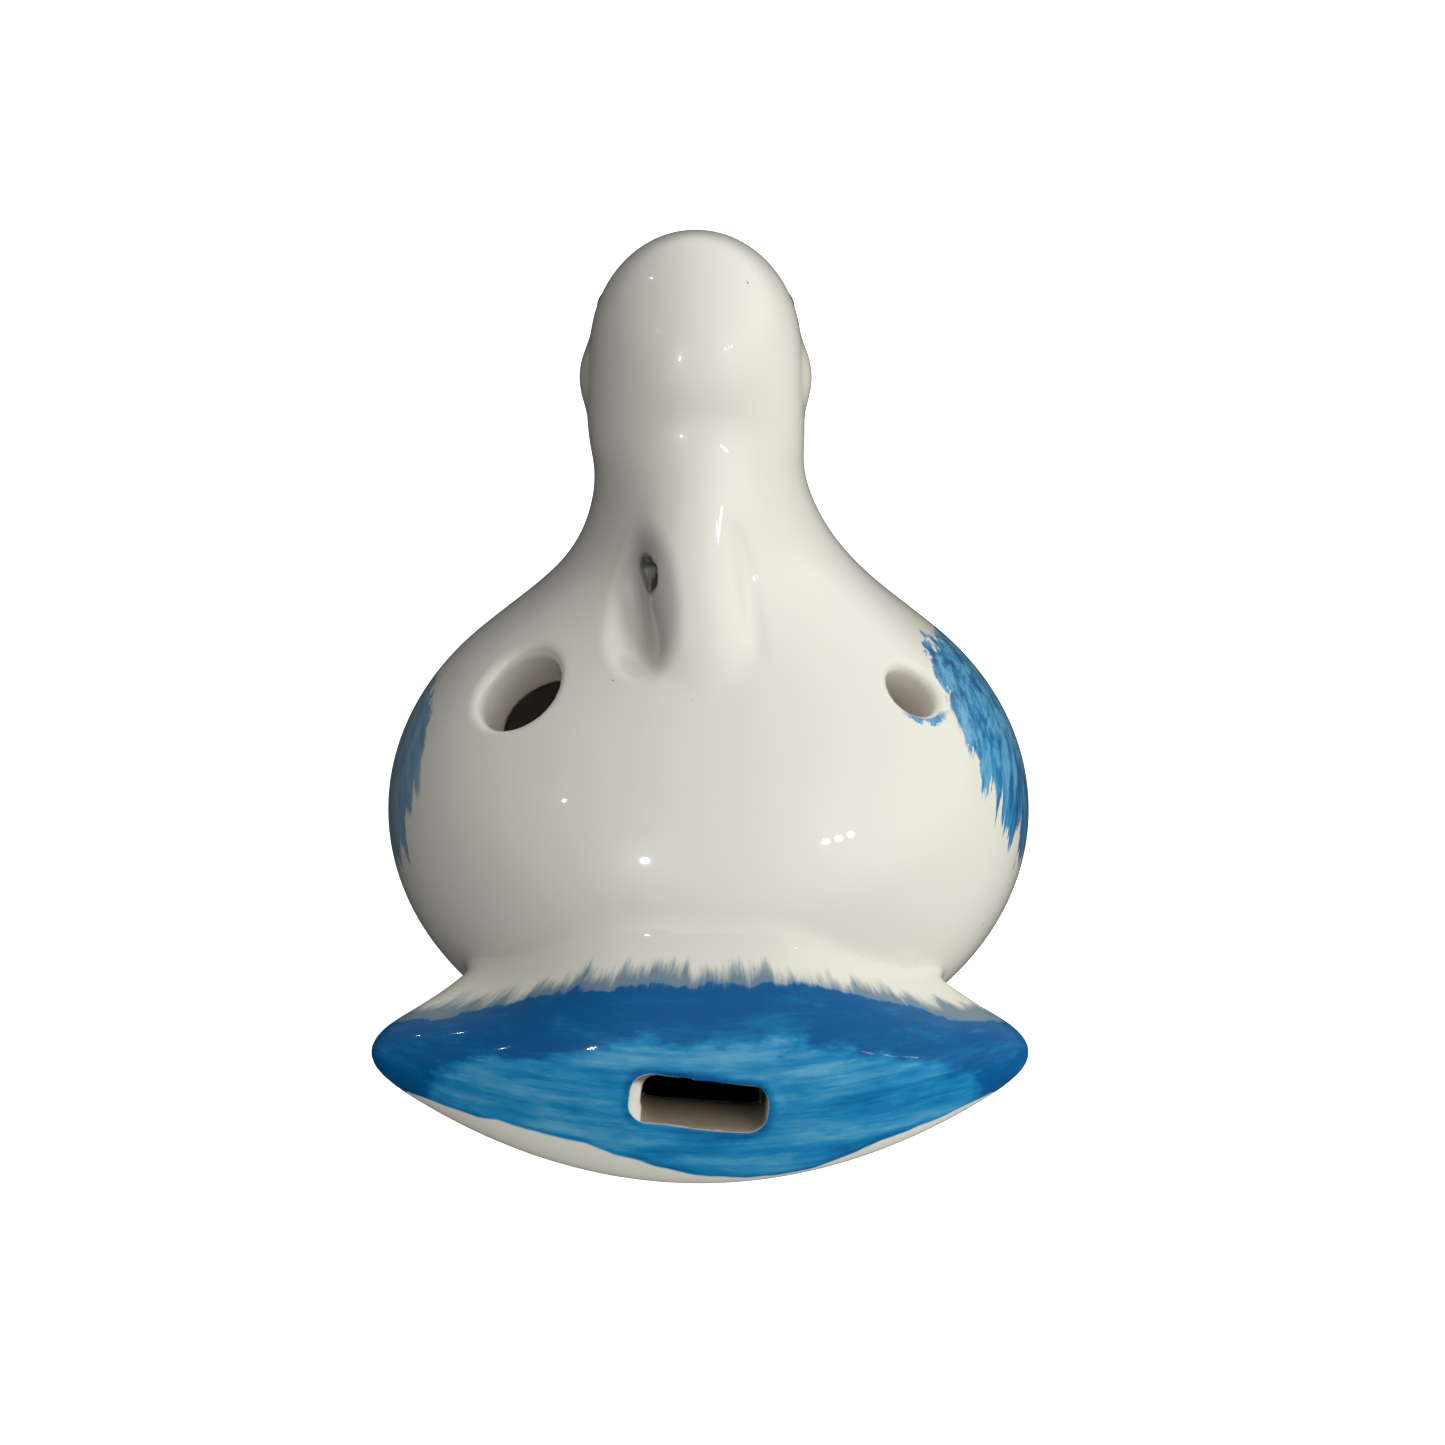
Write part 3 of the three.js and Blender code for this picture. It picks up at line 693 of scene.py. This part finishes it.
def glaze_material(name, shine):
    """White glaze with the blue paint under it, and bare clay in the chamber and slot; the slot's
    clay carries painted shade.
    """
    g = Graph(name)
    tail_mask, tail_thick, second = tail_paint(g)
    right_mask, right_thick = wing_paint(g, 1)
    left_mask, left_thick = wing_paint(g, -1)
    right_mask = hole_paint(g, right_mask)
    a, b, c = BODY_RADII
    ex, ey, ez = (g.x - BODY_SWAY) * (1 / a), g.y * (1 / b), (g.z - BODY_CENTRE[2]) * (1 / c)
    depth = (ex * ex + ey * ey + ez * ez).root()
    wings = right_mask.at_least(left_mask) * depth.step(0.92, 0.95)
    wing_thick = (right_mask * right_thick).at_least(left_mask * left_thick)
    thick = (tail_mask * tail_thick).at_least(wings * wing_thick)
    thin = g.blend(thick.step(-0.25, 0.40), (112, 184, 214), (26, 136, 190))
    blue = g.blend(thick.step(0.25, 0.80), thin, (0, 88, 146))
    blue = g.blend(second.at_least(wings), (74, 114, 134), blue)
    cloud = g.noise(g.x * 0.06, g.y * 0.06, g.z * 0.06, 3, 0.5)
    white = g.blend(cloud, (228, 226, 213), (233, 231, 219))
    in_body = depth.step(0.93, 0.89) * (g.z - 41).step(0.5, -0.5)
    _, in_slot, deep = slot_inside(g)
    bare = in_body.at_least(in_slot * (g.z - 9.5).step(-0.5, 0.5))
    grain = g.noise(g.x * 1.2, g.y * 1.2, g.z * 1.2, 3, 0.6)
    clay = g.blend(grain, (220, 213, 199), (228, 222, 209))
    # Painted shade: the slot's clay is greyed, and darkens to near black the deeper it lies.
    slot_shade_clay = g.blend(grain, (132, 122, 104), (146, 136, 117))
    clay = g.blend(in_slot, clay, g.blend(deep.step(0.4, 5.6), slot_shade_clay, (15, 14, 10)))
    white = g.blend(bare, white, clay)
    colour = g.blend(tail_mask.at_least(wings), white, blue)
    dots = g.specks(7.0, 0.16, 0.5).at_least(g.specks(3.1, 0.07, 0.3))
    colour = g.blend(dots * 0.75, colour, (84, 74, 60))
    lug_hollow_shade, eye = lug_painted_shade(g)
    # Painted shade greys the hollow beside the cord lug.
    colour = g.blend(lug_hollow_shade * 0.42, colour, (96, 94, 84))
    # Painted shade darkens the lug's eye.
    colour = g.blend(eye * 0.9, colour, (58, 56, 44))
    dimple = g.noise(g.x * 0.16, g.y * 0.16, g.z * 0.16, 2, 0.4)
    g.bump(dimple + (tail_mask.at_least(wings) * thick) * 0.05 - dots * 0.3, 0.0002, 0.5)
    g.shader.inputs["Specular IOR Level"].default_value = shine
    return g.finish(colour, 0.35 + bare * 0.3, 1.0, 0.045, 1.15 + 0.7 * shine)


def beak_material():
    """Ochre glaze, darker at the tip."""
    g = Graph("beak_glaze")
    streak = g.noise(g.x * 0.9, g.y * 0.2, g.z * 1.6, 3, 0.6)
    colour = g.blend(streak, (196, 132, 62), (160, 92, 38))
    tip = (g.y + streak * 1.5).step(34.4, 36.8)
    colour = g.blend(tip, colour, (92, 60, 36))
    g.bump(streak, 0.0002, 0.3)
    return g.finish(colour, 0.35 - tip * 0.05, 1.0, 0.06)


def eye_material():
    """Almost black glaze."""
    g = Graph("eye_glaze")
    cloud = g.noise(g.x * 0.8, g.y * 0.8, g.z * 0.8, 2, 0.5)
    colour = g.blend(cloud, (16, 17, 20), (34, 32, 34))
    g.bump(cloud, 0.0001, 0.2)
    return g.finish(colour, 0.3 + cloud * 0.1, 1.0, 0.03)


# ---------------------------------------------------------------------------
# The pieces
# ---------------------------------------------------------------------------

def bird_pieces():
    """The fired clay, meshed whole and parted along the joints of the CAD pieces."""
    low, high = (-32, -41, -1.2), (32, 31.5, 71)
    points, quads, normals = surface(clay_field, low, high, CLAY_PITCH)
    middle = points[quads].mean(1)
    x, y, z = middle.T
    off_bird = bird_field(x, y, z) > 0.25
    on_tail = off_bird & (y < -14) & (z < 32)
    on_lug = off_bird & (z > 38) & (np.abs(x) < 8) & (y < 6)
    above_slit = z - MOUTH_Z + WINDWAY_SLOPE * (y - MOUTH_Y) > 0
    tilt_y, tilt_z = math.sin(NECK_TILT), math.cos(NECK_TILT)
    above_neck = (y - NECK_JOINT[0]) * tilt_y + (z - NECK_JOINT[1]) * tilt_z > 0
    on_shell = ~on_tail & ~on_lug
    white, blue = glaze_material("white_glaze", 0.5), glaze_material("blue_glaze", 0.05)
    parts = (
        ("tail_roof", on_tail & above_slit, "tail_top", "blue_glaze"),
        ("tail_keel", on_tail & ~above_slit, "tail_bottom", "blue_glaze"),
        ("nape_lug", on_lug, "cord_loop", "white_glaze"),
        ("head", on_shell & above_neck, "head_shell", "white_glaze"),
        ("back", on_shell & ~above_neck & (z > BODY_CENTRE[2]), "back_shell", "white_glaze"),
        ("belly", on_shell & (z <= BODY_CENTRE[2]), "belly_shell", "white_glaze"),
    )
    for name, faces, node, slot in parts:
        material = blue if slot == "blue_glaze" else white
        piece_from(name, points, quads[faces], normals, material, node, slot)


def face_pieces():
    """The beak and the two eyes."""
    low, high = (-6, 22, 50), (6, 38.5, 63)
    beak = surface(beak_field, low, high, BEAK_PITCH)
    piece_from("beak_glazed", *beak, beak_material(), "beak", "beak_glaze")
    eye = eye_material()
    for node, side in (("eye_left", -1), ("eye_right", 1)):
        low, high = [m - 3 for m in eye_middle(side)], [m + 3 for m in eye_middle(side)]
        button = surface(eye_field(side), low, high, EYE_PITCH)
        piece_from(node + "_button", *button, eye, node, "dark_glaze")


# ---------------------------------------------------------------------------
# Floor, lights and camera
# ---------------------------------------------------------------------------

def make_floor():
    """A white sheet, lit from behind so that the bird hardly shades it."""
    mesh = bpy.data.meshes.new("floor")
    half = 1.2
    z = cad_low.z - 0.2 * MM
    corners = [(half * a, half * b, z) for a, b in ((-1, -1), (1, -1), (1, 1), (-1, 1))]
    mesh.from_pydata(corners, [], [(0, 1, 2, 3)])
    g = Graph("floor_paper")
    cloud = g.noise(g.x * 0.01, g.y * 0.01, g.z * 0.01, 2, 0.5)
    colour = g.blend(cloud, (240, 240, 239), (244, 244, 243))
    g.bump(cloud, 0.0001, 0.1)
    g.shader.inputs["Emission Color"].default_value = (1, 1, 1, 1)
    g.shader.inputs["Emission Strength"].default_value = 1.0
    mesh.materials.append(g.finish(colour, 0.8 + cloud * 0.05, 0.0, 0.3))
    floor = bpy.data.objects.new("floor", mesh)
    bpy.context.scene.collection.objects.link(floor)
    floor.visible_diffuse = False
    floor.visible_glossy = False


def aim(thing, place, target):
    """Puts a lamp or camera at a place, turned to look at the target."""
    thing.location = place
    thing.rotation_mode = "QUATERNION"
    thing.rotation_quaternion = (Vector(target) - Vector(place)).to_track_quat("-Z", "Y")


def lamp(name, way, distance, size, power, colour, seen=True):
    """A round lamp in the given direction: degrees round from the tail, degrees up.

    One that is seen only shows as a glint in the glaze; the other kind only gives light.
    """
    turn, height = math.radians(way[0]), math.radians(way[1])
    flat = math.cos(height)
    out = Vector((math.sin(turn) * flat, -math.cos(turn) * flat, math.sin(height)))
    heart = ORIGIN + Vector((0, 0, 30)) * MM
    data = bpy.data.lights.new(name, "AREA")
    data.shape = "DISK"
    data.size = size
    data.energy = power
    data.color = colour
    light = bpy.data.objects.new(name, data)
    bpy.context.scene.collection.objects.link(light)
    light.visible_glossy = seen
    light.visible_diffuse = not seen
    aim(light, heart + out * distance, heart)


def make_world():
    """A soft dome, bright on the bird's right; in the glaze, a ceiling over a dark table;
    and a plain white backdrop behind everything."""
    world = bpy.data.worlds.new("studio")
    bpy.context.scene.world = world
    world.use_nodes = True
    tree = world.node_tree

    def node(kind, operation=None):
        made = tree.nodes.new(kind)
        if operation:
            made.operation = operation
        return made

    def feed(socket, value):
        if isinstance(value, bpy.types.NodeSocket):
            tree.links.new(value, socket)
        else:
            socket.default_value = value

    def math_of(operation, *values):
        made = node("ShaderNodeMath", operation)
        for socket, value in zip(made.inputs, values):
            feed(socket, value)
        return made.outputs[0]

    def towards(way):
        made = node("ShaderNodeVectorMath", "DOT_PRODUCT")
        feed(made.inputs[0], place)
        feed(made.inputs[1], way)
        return made.outputs["Value"]

    def ramp(value, start, end, first, last):
        made = node("ShaderNodeMapRange")
        made.interpolation_type = "SMOOTHSTEP"
        for name, part in (("Value", value), ("From Min", start), ("From Max", end),
                           ("To Min", first), ("To Max", last)):
            feed(made.inputs[name], part)
        return made.outputs["Result"]

    place = node("ShaderNodeTexCoord").outputs["Generated"]
    even = tree.nodes["Background"]
    feed(even.inputs["Color"], (1, 1, 1, 1))
    dome = math_of("MULTIPLY_ADD", towards((0.95, -0.23, 0.33)), 0.57, 0.575)
    feed(even.inputs["Strength"], math_of("MAXIMUM", dome, 0.03))

    mirrored = node("ShaderNodeBackground")
    feed(mirrored.inputs["Color"], (1, 0.99, 0.96, 1))
    ceiling = ramp(towards((0, 0, 1)), -0.05, 0.40, 0.06, 1.1)
    shade = ramp(towards((1, 0, 0)), -0.7, 0.1, 0.35, 1)
    feed(mirrored.inputs["Strength"], math_of("MULTIPLY", ceiling, shade))
    backdrop = node("ShaderNodeBackground")
    feed(backdrop.inputs["Color"], (1, 1, 1, 1))
    kind = node("ShaderNodeLightPath").outputs

    def choose(ray, usual, special):
        made = node("ShaderNodeMixShader")
        for socket, value in zip(made.inputs, (kind[ray], usual, special)):
            feed(socket, value)
        return made.outputs[0]

    seen = choose("Is Glossy Ray", even.outputs[0], mirrored.outputs[0])
    seen = choose("Is Camera Ray", seen, backdrop.outputs[0])
    feed(tree.nodes["World Output"].inputs["Surface"], seen)


def make_lights():
    lamp("key", (62, 34), 0.80, 0.50, 0.86, (1, 0.98, 0.95), False)
    lamp("fill", (96, 6), 0.80, 0.15, 0.62, (1, 0.98, 0.95), False)
    lamp("spark_left", (-23, 34), 0.68, 0.026, 0.50, (1, 1, 1))
    lamp("spark_high", (-67, 43), 0.70, 0.009, 0.07, (1, 1, 1))
    lamp("spark_front", (-135, 39), 0.70, 0.009, 0.07, (1, 1, 1))
    for i, (turn, height) in enumerate(((45, 35), (50, 34), (55, 33))):
        lamp("spark_right_%d" % i, (turn, height), 0.70, 0.030, 0.05, (1, 1, 1))


def make_camera():
    """Behind the bird and above it, close enough for a moderate perspective."""
    height = math.radians(39)
    distance = 0.330
    target = ORIGIN + Vector((0, 0, 21)) * MM
    back = Vector((0, -math.cos(height), math.sin(height)))
    data = bpy.data.cameras.new("camera")
    data.sensor_width = 36
    data.lens = 87.15
    data.shift_x = 0.0156
    data.shift_y = 0.0510
    camera = bpy.data.objects.new("camera", data)
    bpy.context.scene.collection.objects.link(camera)
    aim(camera, target + back * distance, target)
    data.clip_start, data.clip_end = 0.01, 10
    bpy.context.scene.camera = camera
    bpy.context.scene.view_settings.view_transform = "Standard"


make_camera()
make_world()
make_lights()
make_floor()
bird_pieces()
face_pieces()
